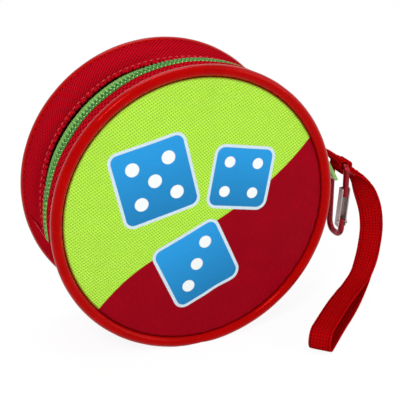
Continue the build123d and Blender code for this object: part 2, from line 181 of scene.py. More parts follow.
class Value:
    """A shader socket that arithmetic works on."""

    def __init__(self, shade, socket):
        self.shade = shade
        self.socket = socket

    def math(self, operation, *others, swap=False):
        """A Math node on this value and the others."""
        inputs = [self, *others]
        if swap:
            inputs.reverse()
        return self.shade.node("ShaderNodeMath", {"operation": operation}, dict(enumerate(inputs)))

    def __add__(self, other):
        return self.math("ADD", other)

    def __sub__(self, other):
        return self.math("SUBTRACT", other)

    def __rsub__(self, other):
        return self.math("SUBTRACT", other, swap=True)

    def __mul__(self, other):
        return self.math("MULTIPLY", other)

    def __truediv__(self, other):
        return self.math("DIVIDE", other)

    __radd__ = __add__
    __rmul__ = __mul__

    def sine(self):
        """The sine of this value."""
        return self.math("SINE")

    def cosine(self):
        """The cosine of this value."""
        return self.math("COSINE")

    def size(self):
        """The value without its sign."""
        return self.math("ABSOLUTE")

    def most(self, other):
        """The larger of two values."""
        return self.math("MAXIMUM", other)

    def below(self, edge, soft):
        """1 where this value is under an edge and 0 above it, with a soft step."""
        settings = {"interpolation_type": "SMOOTHSTEP"}
        values = {0: self, 1: edge - soft, 2: edge + soft, 3: 1.0, 4: 0.0}
        return self.shade.node("ShaderNodeMapRange", settings, values)


class Nodes:
    """A node tree and the ways to add and link its nodes."""

    def __init__(self, tree):
        self.tree = tree

    def node(self, kind, settings=None, values=None, output=0):
        """Add a node, set it up, feed its sockets, and return one of its outputs."""
        made = self.tree.nodes.new(kind)
        for key, value in (settings or {}).items():
            setattr(made, key, value)
        for key, value in (values or {}).items():
            self.feed(made.inputs[key], value)
        return Value(self, made.outputs[output])

    def feed(self, socket, value):
        """Link a value to a socket, or set the socket to a number or colour."""
        if isinstance(value, Value):
            self.tree.links.new(value.socket, socket)
        else:
            socket.default_value = value


class Shade(Nodes):
    """One material and the nodes in it."""

    def __init__(self, name, **plain):
        self.material = bpy.data.materials.new(name)
        self.material.use_nodes = True
        super().__init__(self.material.node_tree)
        self.surface = self.tree.nodes["Principled BSDF"]
        for socket, value in plain.items():
            self.surface.inputs[socket.replace("_", " ")].default_value = value

    def set(self, name, value):
        """Feed one of the surface's sockets."""
        self.feed(self.surface.inputs[name], value)

    def place(self):
        """The three object coordinates."""
        point = self.node("ShaderNodeTexCoord", output="Object")
        split = self.tree.nodes.new("ShaderNodeSeparateXYZ")
        self.tree.links.new(point.socket, split.inputs[0])
        return [Value(self, split.outputs[axis]) for axis in range(3)]

    def attribute(self, name):
        """A number that the mesh carries."""
        return self.node("ShaderNodeAttribute", {"attribute_name": name}, output="Fac")

    def noise(self, scale, detail=3.0, roughness=0.55):
        """Soft noise on object coordinates."""
        point = self.node("ShaderNodeTexCoord", output="Object")
        values = {"Vector": point, "Scale": scale, "Detail": detail, "Roughness": roughness}
        return self.node("ShaderNodeTexNoise", None, values)

    def mix(self, share, one, two):
        """A colour between two colours."""
        values = {0: share, 6: colour_of(one), 7: colour_of(two)}
        return self.node("ShaderNodeMix", {"data_type": "RGBA"}, values, output=2)

    def tones(self, share, colour, one, two):
        """A colour between two strengths of one colour."""
        return self.mix(share, darker(colour, one), darker(colour, two))

    def bump(self, height, distance, strength=1.0):
        """Raise the surface by a height map."""
        values = {"Height": height, "Distance": distance, "Strength": strength}
        self.set("Normal", self.node("ShaderNodeBump", None, values))


def colour_of(value):
    """A colour with its alpha, or a link as it is."""
    return value if isinstance(value, Value) else (*value[:3], 1.0)


def darker(colour, share):
    """A colour scaled by a share: darker under 1, lighter over it."""
    return tuple(part * share for part in colour)


def drum_arc(shade):
    """The distance round the drum and the depth of a point of the side cloth."""
    x, y, z = shade.place()
    return (z - DRUM_HEIGHT).math("ARCTAN2", x) * GUSSET_RADIUS, y


def weave_pits(along, across, pitch):
    """A plain weave: 1 in the small pits where the yarns cross and 0 on the yarns."""
    return ((along * (pi / pitch)).cosine() * (across * (pi / pitch)).cosine()).size()


def tile_distance(x, z, middle, half, turn, corner):
    """Distance outside a turned square with round corners, and its own two coordinates."""
    c, s = cos(turn), sin(turn)
    across = (x - middle[0]) * c + (z - middle[1]) * s
    up = (z - middle[1]) * c - (x - middle[0]) * s
    out_x = (across.size() - (half - corner)).most(0.0)
    out_z = (up.size() - (half - corner)).most(0.0)
    return (out_x * out_x + out_z * out_z).math("SQRT") - corner, across, up


def dot_mask(across, up, radius, edge):
    """A round dot at the middle of two coordinates."""
    return (across * across + up * up).math("SQRT").below(radius, edge)


# Each printed die: middle, half its side, turn, and how many centre and corner pips it has
PRINTED_DICE = (
    ((-19 * MM, 17 * MM), 17.0 * MM, radians(13), (1, 4)),
    ((19 * MM, 13 * MM), 14.0 * MM, radians(-11), (0, 4)),
    ((-1 * MM, -23 * MM), 16.0 * MM, radians(24), (1, 2)),
)
PRINT_LINE = 1.3 * MM
PRINT_CORNER = 4.6 * MM
PRINT_WHITE = (0.80, 0.83, 0.83)
HALF_ROOT = 0.7071
ROOT_TWO = 1.414


def printed_cloth():
    """Lime basket weave with a generic print of three tumbling dice over a red field."""
    paint = colours()
    shade = Shade("printed_lime_cloth", Specular_IOR_Level=0.02)
    x, z, lining = (shade.attribute(name) for name in ("print_x", "print_z", "lining"))
    wear = shade.noise(60.0)
    fine = shade.noise(900.0, 2.0)
    pits = weave_pits(x + z * 0.8, z - x * 0.5, WEAVE)
    lime = shade.tones(pits * pits * 0.85, paint.lime, 1.1, 0.38)
    lime = shade.mix(wear.below(0.42, 0.16) * 0.25, lime, darker(paint.lime, 0.8))
    wave = (z * 95.0).sine() * (3.2 * MM) + (x * 60.0 + 1.0).sine() * (2.6 * MM)
    field_edge = z * 0.83 - x * 0.56 + wave
    soft = 0.16 * MM
    field = field_edge.below(-7.0 * MM, soft)
    colour = shade.mix(field, lime, shade.tones(wear, paint.print_red, 1.15, 0.8))
    film = field
    for middle, half, turn, (centre_pip, corner_pips) in PRINTED_DICE:
        distance, across, up = tile_distance(x, z, middle, half, turn, PRINT_CORNER)
        inside = distance.below(0.0, soft)
        body = distance.below(-PRINT_LINE, soft)
        # Painted highlight: each printed die's blue is lighter towards its top, as if lit from
        # above.
        blue = shade.tones(up / half * 0.5 + 0.5, paint.blue, 0.85, 1.35)
        face = shade.mix(body, paint.outline, blue)
        step = half * 0.46
        pip = half * 0.17
        if corner_pips == 4:
            pips = dot_mask(across.size() - step, up.size() - step, pip, soft)
        else:
            diagonal = (across + up) * HALF_ROOT
            other = (across - up) * HALF_ROOT
            pips = dot_mask(diagonal.size() - step * ROOT_TWO, other, pip, soft)
        if centre_pip:
            pips = pips.most(dot_mask(across, up, pip, soft))
        face = shade.mix(pips, face, PRINT_WHITE)
        colour = shade.mix(inside, colour, face)
        film = film.most(inside)
    # Painted shade: a narrow dark red ring round the panel's edge, where the cloth turns into the
    # seam under the piping.
    rim = (x * x + z * z).math("SQRT")
    seam = 1.0 - rim.below(PANEL_RADIUS - 0.7 * MM, 0.7 * MM)
    colour = shade.mix(seam, colour, darker(paint.red, 0.35))
    inner_red = shade.tones(pits * 0.7, paint.red, 0.9, 0.4)
    outside = lining.below(0.5, 0.1)
    film = film * outside
    colour = shade.mix(outside, inner_red, colour)
    shade.set("Base Color", colour)
    shade.set("Roughness", 0.64 - film * 0.3 + fine * 0.08)
    height = (1.0 - pits) * (1.0 - film * 0.75) * 0.8 + fine * 0.25
    shade.bump(height, 0.22 * MM, 0.9)
    return shade.material


def red_cloth(name, flat):
    """Red coated Oxford weave with a fine diagonal rib, flat or round the drum."""
    paint = colours()
    shade = Shade(name, Specular_IOR_Level=0.0)
    if flat:
        along, _, across = shade.place()
    else:
        along, across = drum_arc(shade)
    pits = weave_pits(along * 0.75 + across * 0.55, across * 0.75 - along * 0.4, WEAVE)
    wear = shade.noise(45.0)
    colour = shade.tones(pits, paint.red, 1.38, 0.2)
    colour = shade.mix(wear.below(0.45, 0.2) * 0.25, colour, darker(paint.red, 0.72))
    shade.set("Base Color", colour)
    shade.set("Roughness", 0.5 + pits * 0.14 + wear * 0.1)
    shade.bump((1.0 - pits) * 0.8 + wear * 0.4, 0.2 * MM)
    return shade.material


def piping_plastic():
    """Glossy red plastic tube with faint ripples."""
    paint = colours()
    shade = Shade("piping_plastic", Specular_IOR_Level=0.3, Specular_Tint=RED_GLINT)
    ripple = shade.noise(120.0, 2.0)
    shade.set("Base Color", shade.tones(ripple, paint.piping, 0.82, 1.2))
    shade.set("Roughness", 0.12 + ripple * 0.1)
    shade.bump(ripple, 0.25 * MM, 0.5)
    return shade.material


def zip_tape():
    """Green woven tape with a herringbone."""
    paint = colours()
    shade = Shade("zip_tape_weave", Roughness=0.75, Specular_IOR_Level=0.2)
    around, depth = drum_arc(shade)
    zigzag = (depth * (pi / (1.4 * MM))).sine().size() * 1.2
    chevron = (zigzag + around * (2 * pi / (1.1 * MM))).sine()
    shade.set("Base Color", shade.tones(chevron * 0.3 + 0.3, paint.zip_green, 1.15, 0.55))
    shade.bump(chevron, 0.12 * MM)
    return shade.material


def coil_nylon():
    """Green nylon of the zip's coil."""
    paint = colours()
    shade = Shade("coil_nylon", Roughness=0.4, Specular_IOR_Level=0.3)
    grain = shade.noise(700.0, 2.0)
    shade.set("Base Color", shade.tones(grain, paint.coil_green, 0.75, 1.35))
    shade.bump(grain, 0.08 * MM, 0.6)
    return shade.material


def enamel(name, colour, rough, metallic):
    """Painted or bare metal with fine brushing and rubbed patches."""
    shade = Shade(name, Metallic=metallic, Specular_IOR_Level=0.35)
    brush = shade.noise(420.0, 4.0)
    patch = shade.noise(160.0, 2.0)
    shade.set("Base Color", shade.tones(patch, colour, 0.82, 1.15))
    shade.set("Roughness", rough + brush * 0.16)
    shade.bump(brush, 0.05 * MM, 0.5)
    return shade.material


def webbing_cloth():
    """Red ribbed webbing: a plain weave, a groove along each side, and rubbed patches."""
    paint = colours()
    shade = Shade("red_ribbed_webbing", Roughness=0.6, Specular_IOR_Level=0.0)
    along = shade.attribute("along")
    across = shade.attribute("across")
    pits = weave_pits(along, across, 1.4 * MM)
    edge = across.size().below(4.1 * MM, 0.15 * MM)
    groove = (across.size() - 3.9 * MM).size().below(0.16 * MM, 0.1 * MM)
    wear = shade.noise(150.0)
    colour = shade.tones(pits * pits * 0.7, paint.strap, 1.12, 0.4)
    colour = shade.mix(groove * 0.4, colour, darker(paint.strap, 0.45))
    colour = shade.mix(wear.below(0.5, 0.2) * 0.25, colour, darker(paint.strap, 0.7))
    shade.set("Base Color", colour)
    shade.bump((1.0 - pits) * (edge * 0.5 + 0.5) - groove * 0.9, 0.3 * MM)
    return shade.material


def moulded(name, colour, rough=0.35, grain_scale=350.0, depth=0.04):
    """Moulded plastic, paper or sand with a fine grain."""
    shade = Shade(name, Roughness=rough)
    grain = shade.noise(grain_scale, 3.0)
    shade.set("Base Color", shade.tones(grain, colour, 0.9, 1.06))
    shade.set("Roughness", rough + grain * 0.12)
    shade.bump(grain, depth * MM, 0.6)
    return shade.material


def clear_glass():
    """Thin clear glass."""
    shade = Shade("timer_clear_glass", Roughness=0.03, IOR=1.45, Alpha=0.28)
    shade.set("Base Color", (0.9, 0.95, 0.96, 1.0))
    return shade.material


def thread(name, colour):
    """Twisted sewing thread."""
    return moulded(name, colour, 0.55, 1500.0)


MAKERS = {
    "printed": printed_cloth,
    "red": lambda: red_cloth("red_oxford_cloth", False),
    "flat_red": lambda: red_cloth("flat_red_oxford_cloth", True),
    "piping": piping_plastic,
    "tape": zip_tape,
    "coil": coil_nylon,
    "webbing": webbing_cloth,
    "thread": lambda: thread("red_sewing_thread", (0.62, 0.03, 0.035)),
    "coil_thread": lambda: thread("pale_green_coil_thread", (0.50, 0.76, 0.26)),
    "glass": clear_glass,
    "enamel": lambda: enamel("green_enamel", darker(colours().zip_green, 0.95), 0.25, 0.2),
    "anodised": lambda: enamel("red_anodised_wire", (0.26, 0.003, 0.012), 0.26, 0.6),
    "silver": lambda: enamel("satin_gate_metal", (0.46, 0.40, 0.39), 0.32, 0.9),
    "ivory": lambda: moulded("ivory_dice_plastic", colours().ivory, 0.28),
    "ink": lambda: moulded("dice_ink", (0.02, 0.03, 0.12), 0.5),
    "caps": lambda: moulded("timer_cap_plastic", colours().blue, 0.3),
    "sand": lambda: moulded("timer_sand_grains", (0.74, 0.55, 0.24), 0.8, 4000.0, 0.2),
    "paper": lambda: moulded("leaflet_paper", (0.85, 0.85, 0.80), 0.75, 500.0, 0.03),
}
made_materials = {}


def material(name):
    """One of the finishes, made the first time it is asked for."""
    if name not in made_materials:
        made_materials[name] = MAKERS[name]()
    return made_materials[name]


def add_object(name, data):
    """A new object in the scene."""
    made = bpy.data.objects.new(name, data)
    bpy.context.collection.objects.link(made)
    return made


def curve_mesh(curve):
    """The mesh that a curve or a text makes."""
    holder = add_object(curve.name, curve)
    bpy.context.view_layer.update()
    depsgraph = bpy.context.evaluated_depsgraph_get()
    mesh = bpy.data.meshes.new_from_object(holder.evaluated_get(depsgraph))
    bpy.data.objects.remove(holder)
    return mesh


def finish_mesh(name, bm, finish, body=None, nodes=(), smooth=True):
    """Turn a bmesh into a named piece with its material, slot and body."""
    bmesh.ops.recalc_face_normals(bm, faces=bm.faces)
    for face in bm.faces:
        face.smooth = smooth
    mesh = bpy.data.meshes.new(name)
    bm.to_mesh(mesh)
    bm.free()
    piece = add_object(name, mesh)
    mesh.materials.append(material(finish))
    if body:
        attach(piece, body)
    if nodes:
        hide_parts(*nodes)
    return piece


def dress(node, finish):
    """Give a CAD node its finish."""
    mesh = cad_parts[node].data
    mesh.materials.clear()
    mesh.materials.append(material(finish))


def outward_at(angle):
    """The direction away from the drum's axis at an angle above +X."""
    return Vector((cos(angle), 0, sin(angle)))


def along_at(angle):
    """The direction round the drum at an angle above +X."""
    return Vector((-sin(angle), 0, cos(angle)))


def drum_point(radius, angle, depth):
    """A point by its distance from the drum's axis, its angle above +X and its depth."""
    return Vector((radius * cos(angle), depth, DRUM_HEIGHT + radius * sin(angle)))


def drum_turned(profile, start, end):
    """Spin a closed outline of radii and depths round the drum, and cap a part turn's ends."""
    full = abs(end - start) > 2 * pi - 0.001
    bm = bmesh.new()
    verts = [bm.verts.new(drum_point(radius, start, depth)) for radius, depth in profile]
    edges = [bm.edges.new((verts[i - 1], verts[i])) for i in range(len(verts))]
    steps = max(2, round(sizes().turns * (end - start) / (2 * pi)))
    bmesh.ops.spin(
        bm, geom=verts + edges, cent=(0, 0, DRUM_HEIGHT), axis=(0, -1, 0),
        angle=end - start, steps=steps, use_merge=full, use_duplicate=False,
    )
    if not full:
        bmesh.ops.holes_fill(bm, edges=[e for e in bm.edges if e.is_boundary], sides=0)
    return bm


def polar(point):
    """A point's distance from the drum's axis and its angle above +X."""
    return Vector((point.x, point.z - DRUM_HEIGHT)).length, atan2(point.z - DRUM_HEIGHT, point.x)


def circle_outline(radius, depth, across, count=24):
    """A round outline at a distance from the axis."""
    steps = [2 * pi * i / count for i in range(count)]
    return [(radius + across * cos(a), depth + across * sin(a)) for a in steps]


def ease(value):
    """Ease from 0 to 1."""
    value = min(max(value, 0), 1)
    return value * value * (3 - 2 * value)


def gape_at(angle):
    """How wide the back hem stands open along the zip, from 0 to 1."""
    return min(1.0, 1.35 * hill(angle, radians(136), radians(56)))


def hill(value, middle, half):
    """A smooth hill of height 1 at the middle and 0 beyond its half width."""
    share = max(0.0, 1 - abs(value - middle) / half)
    return share * share * (3 - 2 * share)


def across_fold(piece):
    """Bake a piece's transform into its mesh."""
    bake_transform(piece)


class CASE_OT_front_cloth(bpy.types.Operator):
    """Make the printed front, one crowned sheet."""

    bl_idname = "case.front_cloth"
    bl_label = "Printed front"

    def execute(self, context):
        size = sizes()
        rings, spokes = 64, 216
        bm = bmesh.new()
        verts = [bm.verts.new(drum_point(PANEL_RADIUS * i / rings, 0, 0)) for i in range(rings + 1)]
        edges = [bm.edges.new(pair) for pair in zip(verts, verts[1:])]
        bmesh.ops.spin(
            bm, geom=verts + edges, cent=(0, 0, DRUM_HEIGHT), axis=(0, -1, 0),
            angle=2 * pi, steps=spokes, use_merge=True, use_duplicate=False,
        )
        bmesh.ops.remove_doubles(bm, verts=bm.verts, dist=1e-6)
        for vert in bm.verts:
            vert.co.y = self.depth_at(vert.co, size.crown)
        layers = [bm.verts.layers.float.new(name) for name in ("print_x", "print_z", "lining")]
        made_first = set(bm.verts)
        bmesh.ops.solidify(bm, geom=bm.faces[:], thickness=size.cloth)
        mean_first = sum(vert.co.y for vert in made_first) / len(made_first)
        faces_front = mean_first < sum(vert.co.y for vert in bm.verts) / len(bm.verts)
        for vert in bm.verts:
            inside = (vert in made_first) != faces_front
            for layer, value in zip(layers, (vert.co.x, vert.co.z - DRUM_HEIGHT, float(inside))):
                vert[layer] = value
        cloth = finish_mesh("front_cloth", bm, "printed")
        across_fold(cloth)
        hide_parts("front_panel_lower", "front_panel_upper")
        return {"FINISHED"}

    def depth_at(self, point, crown):
        """The cloth's depth: a crown, gathers along the seam, slack, and creases low down."""
        radius, angle = polar(point)
        share = radius / PANEL_RADIUS
        bulge = crown * (1 - share * share)
        gather = hill(share, 0.985, 0.1) * 0.16 * MM * sin(angle * 61 + 2.5 * sin(angle * 7))
        x, z = point.x, point.z - DRUM_HEIGHT
        slack = 0.45 * MM * noise.noise(Vector((x * 34, z * 34, 3.1)))
        waver = 1.5 * noise.noise(Vector((x * 90, z * 90, 0)))
        crumple = hill(angle, radians(-62), radians(34)) * hill(share, 0.74, 0.3)
        crumple *= 0.7 * MM * sin((x * 0.85 + z * 0.5) / (2.6 * MM) + waver)
        return -0.65 * MM - bulge + gather + (slack + crumple) * (1 - share ** 6)


class CASE_OT_piping(bpy.types.Operator):
    """Make the glossy piping round both edges, pressed flat where the case stands."""

    bl_idname = "case.piping"
    bl_label = "Piping"

    def execute(self, context):
        for name, depth in (("front_piping", 0.0), ("back_piping_tube", BACK_DEPTH)):
            bm = drum_turned(circle_outline(PIPING_CENTRE, depth, PIPING_RADIUS), 0, 2 * pi)
            for vert in bm.verts:
                _, angle = polar(vert.co)
                out = Vector((vert.co.x, 0, vert.co.z - DRUM_HEIGHT)).normalized() * PIPING_CENTRE
                core = Vector((out.x, depth, DRUM_HEIGHT + out.z))
                joint = 1 - 0.14 * hill(angle, radians(-88.5), radians(0.9))
                wobble = 1 + 0.02 * sin(angle * 23) * sin(angle * 5 + depth * 60)
                vert.co = core + (vert.co - core) * min(joint * wobble, 1.0)
                vert.co.z = max(vert.co.z, 0)
            tube = finish_mesh(name, bm, "piping")
            if depth:
                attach(tube, ROOT_BODY)
                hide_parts("back_piping")
            else:
                across_fold(tube)
                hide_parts("front_piping_lower", "front_piping_upper")
        return {"FINISHED"}


def cloth_outline(front, back, inner, outer, folded_front, folded_back):
    """A strip's outline with a thicker folded hem on the edges that are folded."""
    hem = 2.4 * MM
    top = outer + 0.35 * MM
    edge, soft = 0.3 * MM, 0.5 * MM
    points = [(inner, front)]
    if folded_front:
        points += [(outer - 0.1 * MM, front), (top, front + edge), (top, front + hem)]
        points += [(outer, front + hem + soft)]
    else:
        points += [(outer, front)]
    count = max(2, round((back - front) / (1.6 * MM)))
    low, high = front + hem + 1 * MM, back - hem - 1 * MM
    if high > low:
        points += [(outer, low + (high - low) * i / count) for i in range(count + 1)]
    if folded_back:
        points += [(outer, back - hem - soft)] if high > low else []
        points += [(top, back - hem), (top, back - edge), (outer - 0.1 * MM, back)]
    else:
        points += [(outer, back)]
    points += [(inner, back)]
    return points


HEM_LIFT = 1.0 * MM


def strip_rise(depth):
    """How far the front strip's cloth bulges out at a depth, most at its hem beside the zip."""
    return 1.15 * MM * ease((depth - PIPING_RADIUS) / (3.2 * MM))


class CASE_OT_side_cloth(bpy.types.Operator):
    """Make the red side cloth, with a gape along the zip at the upper left and soft dents."""

    bl_idname = "case.side_cloth"
    bl_label = "Side cloth"

    def execute(self, context):
        inner = GUSSET_RADIUS - sizes().gusset
        start, end = FOLD_TILT, FOLD_TILT + pi
        back_edge = BACK_DEPTH - 0.5 * MM
        zip_edge = back_gusset_low.y
        gap = 0.002
        parts = (
            ("back_gusset_cloth", "back_gusset", ROOT_BODY,
             start, end, zip_edge, back_edge, True, False),
            ("base_gusset_cloth", "base_gusset", ROOT_BODY,
             end, start + 2 * pi, PIPING_RADIUS, back_edge, False, False),
            ("front_strip_cloth", "front_gusset_strip", FLAP_BODY,
             start + gap, end - gap, PIPING_RADIUS, strip_high.y, False, True),
        )
        for name, node, body, low, high, front, back, fold_front, fold_back in parts:
            outline = cloth_outline(front, back, inner, GUSSET_RADIUS, fold_front, fold_back)
            bm = drum_turned(outline, low, high)
            for vert in bm.verts:
                self.dent(vert, node, zip_edge, back_edge)
            if body == FLAP_BODY:
                across_fold(finish_mesh(name, bm, "red"))
                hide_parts(node)
            else:
                finish_mesh(name, bm, "red", body, [node])
        return {"FINISHED"}

    def dent(self, vert, node, zip_edge, back_edge):
        """Move one point: soft dents, a flare over the piping, and the hem off the zip."""
        _, angle = polar(vert.co)
        depth = vert.co.y
        flare = ease((depth - back_edge + 4.6 * MM) / (4.4 * MM))
        flare *= CASE_RADIUS - 0.1 * MM - GUSSET_RADIUS
        middle = hill(depth, (PIPING_RADIUS + back_edge) / 2, back_edge / 2)
        sag = 0.5 * MM * noise.noise(Vector((angle * 2.3, depth * 30, 0.7))) * middle
        crease = 0.35 * MM * hill(angle % (2 * pi), radians(205), radians(14)) * middle
        move = min(0.0, sag - 0.12 * MM) - crease
        if node == "back_gusset":
            gape = gape_at(angle) * hill(depth, zip_edge, 11 * MM)
            vert.co.y += sizes().zip_gape * gape
            move += HEM_LIFT * gape
        if node == "front_gusset_strip":
            move = strip_rise(depth) + 0.1 * MM * sin(angle * 17)
        else:
            move += flare
        vert.co += outward_at(angle) * move
        vert.co.z = max(vert.co.z, 0.02 * MM)


def add_stitch(bm, place, along, outward, length, half_width=0.26 * MM, half_height=0.2 * MM):
    """One stitch: a small bead of thread that lies along the seam."""
    side = outward.cross(along)
    turn = Matrix((along, side, outward)).transposed().to_4x4()
    shape = Matrix.Diagonal((length / 2, half_width, half_height, 1))
    bmesh.ops.create_uvsphere(
        bm, u_segments=6, v_segments=4, radius=1, matrix=Matrix.Translation(place) @ turn @ shape,
    )


class CASE_OT_stitching(bpy.types.Operator):
    """Sew the hems beside the zip and the cross seams at its ends."""

    bl_idname = "case.stitching"
    bl_label = "Stitching"

    def execute(self, context):
        size = sizes()
        raised = GUSSET_RADIUS + 0.42 * MM
        hem_rows = (
            ("hem_stitches_back", ROOT_BODY, back_gusset_low.y + 1.6 * MM, True),
            ("hem_stitches_front", FLAP_BODY, PIPING_RADIUS + 1.0 * MM, False),
        )
        for name, body, depth, follows in hem_rows:
            bm = bmesh.new()
            count = int(GUSSET_RADIUS * (pi - 0.04) / size.stitch_pitch)
            for i in range(count):
                angle = FOLD_TILT + 0.02 + (pi - 0.04) * (i + 0.5) / count
                gape = gape_at(angle) * 0.94 if follows else 0
                rise = HEM_LIFT * gape if follows else strip_rise(depth) - 0.3 * MM
                place = drum_point(raised + rise, angle, depth + size.zip_gape * gape)
                add_stitch(bm, place, along_at(angle), outward_at(angle), size.stitch)
            finish_mesh(name, bm, "thread", body)
        for name, angle, side in (("seam_right", FOLD_TILT, -1), ("seam_left", FOLD_TILT + pi, 1)):
            low, high = sorted((angle + side * radians(0.25), angle + side * radians(2.0)))
            front, back = PIPING_RADIUS + 0.2 * MM, BACK_DEPTH - PIPING_RADIUS - 0.2 * MM
            inner, outer = GUSSET_RADIUS - 0.5 * MM, GUSSET_RADIUS + 0.4 * MM
            bevel = 0.2 * MM
            outline = [(inner, front), (outer, front + bevel), (outer, back - bevel), (inner, back)]
            bm = drum_turned(outline, low, high)
            finish_mesh(name, bm, "red", ROOT_BODY)
            bm = bmesh.new()
            middle = (low + high) / 2
            count = int((back - front) / size.stitch_pitch)
            for i in range(count):
                depth = front + (back - front) * (i + 0.5) / count
                place = drum_point(outer + 0.05 * MM, middle, depth)
                add_stitch(bm, place, Vector((0, 1, 0)), outward_at(middle), size.stitch)
            finish_mesh(name + "_stitches", bm, "thread", ROOT_BODY)
        return {"FINISHED"}


# Rows of thread as distance from the zip's middle and depth under the coil's top, and the
# length, half width and half height of their beads and of the teeth's heads
THREAD_ROWS = ((2.75 * MM, 1.05 * MM), (1.05 * MM, 0.55 * MM))
THREAD_BEAD = (1.5 * MM, 0.42 * MM, 0.45 * MM)
HEAD_ROW, HEAD_SINK = 0.44 * MM, 1.3 * MM
HEAD_BEAD = (0.8 * MM, 0.16 * MM, 0.5 * MM)


class CASE_OT_coil_thread(bpy.types.Operator):
    """Sew the coil to its tapes with pale thread, and add the teeth's heads along the middle."""

    bl_idname = "case.coil_thread"
    bl_label = "Coil thread"

    def execute(self, context):
        start, end = FOLD_TILT, FOLD_TILT + pi
        first, last = start + FIXED_ZIP, end - FIXED_ZIP
        runs = (
            ("coil_thread_back", ROOT_BODY, ((start, end, 1),)),
            ("coil_thread_front", FLAP_BODY, ((first, last, -1),)),
            ("coil_thread_ends", ROOT_BODY, ((start, first, -1), (last, end, -1))),
        )
        for name, body, spans in runs:
            bm = bmesh.new()
            for low, high, side in spans:
                count = int((high - low) / TOOTH_STEP)
                for i in range(1, count):
                    angle = low + (high - low) * i / count
                    for row, sink in THREAD_ROWS:
                        self.bead(bm, angle, side * row, sink, THREAD_BEAD)
                    meet = angle + side * TOOTH_STEP / 4
                    self.bead(bm, meet, side * HEAD_ROW, HEAD_SINK, HEAD_BEAD)
            finish_mesh(name, bm, "coil_thread", body)
        return {"FINISHED"}

    def bead(self, bm, angle, row, sink, shape):
        """One bead at a distance from the zip's middle line and under the coil's top."""
        place = drum_point(COIL_TOP - sink, angle, ZIP_DEPTH + row)
        add_stitch(bm, place, along_at(angle), outward_at(angle), *shape)


STRAP_REST = 1.3 * MM
LAYER_SLIP = 0.5 * MM
TAB_RING = 2.25 * MM
RING_STEPS = 24
FOLD_START, FOLD_END = radians(-105), radians(20)
# The strap's route from the eye: mm outward, mm back, and the share of the eye's height left
STRAP_ROWS = (
    (3.4, 0.0, 0.970), (8.4, -1.0, 0.888), (13.4, -2.2, 0.739), (16.4, -3.6, 0.549),
    (15.0, -5.6, 0.337), (10.0, -8.8, 0.1535), (3.0, -14.4, 0.049), (-6.0, -22.6, 0.003),
    (-17.8, -34.0, 0.0), (-31.9, -48.2, 0.0),
)
# Its width direction at the eye, where it hangs and where it lies
EYE_WIDTH = Vector((0, -1, 0))
HANGING_WIDTH = Vector((0.9, -0.43, 0))
LYING_WIDTH = Vector((0.63, -0.77, 0))
SEWN_SHARE = 0.3
LOOP_OPENING = 8.5 * MM
BEND_STEPS = 14
STRAP_ROUTE = [
    Vector((EYE.x + out * MM, EYE.y + back * MM, STRAP_REST + (EYE.z - STRAP_REST) * share))
    for out, back, share in STRAP_ROWS
]


def smooth_line(points, steps):
    """Points along one smooth curve through the given points."""
    curve = bpy.data.curves.new("guide", "CURVE")
    curve.dimensions = "3D"
    curve.resolution_u = steps
    spline = curve.splines.new("BEZIER")
    spline.bezier_points.add(len(points) - 1)
    for knot, point in zip(spline.bezier_points, points):
        knot.co = point
        knot.handle_left_type = knot.handle_right_type = "AUTO"
    mesh = curve_mesh(curve)
    line = [vert.co.copy() for vert in mesh.vertices]
    bpy.data.meshes.remove(mesh)
    return line


def direction_at(line, index):
    """The direction of a line of points at one of them."""
    after, before = min(index + 1, len(line) - 1), max(index - 1, 0)
    return (line[after] - line[before]).normalized()


def layer_slip(across, share):
    """How far a layer slips sideways behind the eye, at a share of the strap's length."""
    return across * (LAYER_SLIP * (1 - ease(share)) * ease(share / 0.15))


def webbing_mesh(stations, width, thickness):
    """A flat webbing through stations of place, width direction and face direction."""
    bm = bmesh.new()
    along_layer = bm.verts.layers.float.new("along")
    across_layer = bm.verts.layers.float.new("across")
    loops = []
    run = 0.0
    last = None
    for place, across, face in stations:
        run += (place - last).length if last else 0.0
        last = place
        ring = bmesh.ops.create_circle(bm, cap_ends=False, segments=20, radius=1)["verts"]
        for vert in ring:
            a, b = vert.co.x, vert.co.y
            wide = abs(a) ** 0.22 * (1 if a >= 0 else -1) * width / 2
            thick = abs(b) ** 0.55 * (1 if b >= 0 else -1) * thickness / 2
            vert.co = place + across * wide + face * thick
            vert[along_layer] = run
            vert[across_layer] = wide
        loops.append({e for vert in ring for e in vert.link_edges})
    for one, two in zip(loops, loops[1:]):
        bmesh.ops.bridge_loops(bm, edges=list(one | two))
    bmesh.ops.holes_fill(bm, edges=[e for e in bm.edges if e.is_boundary], sides=0)
    return bm


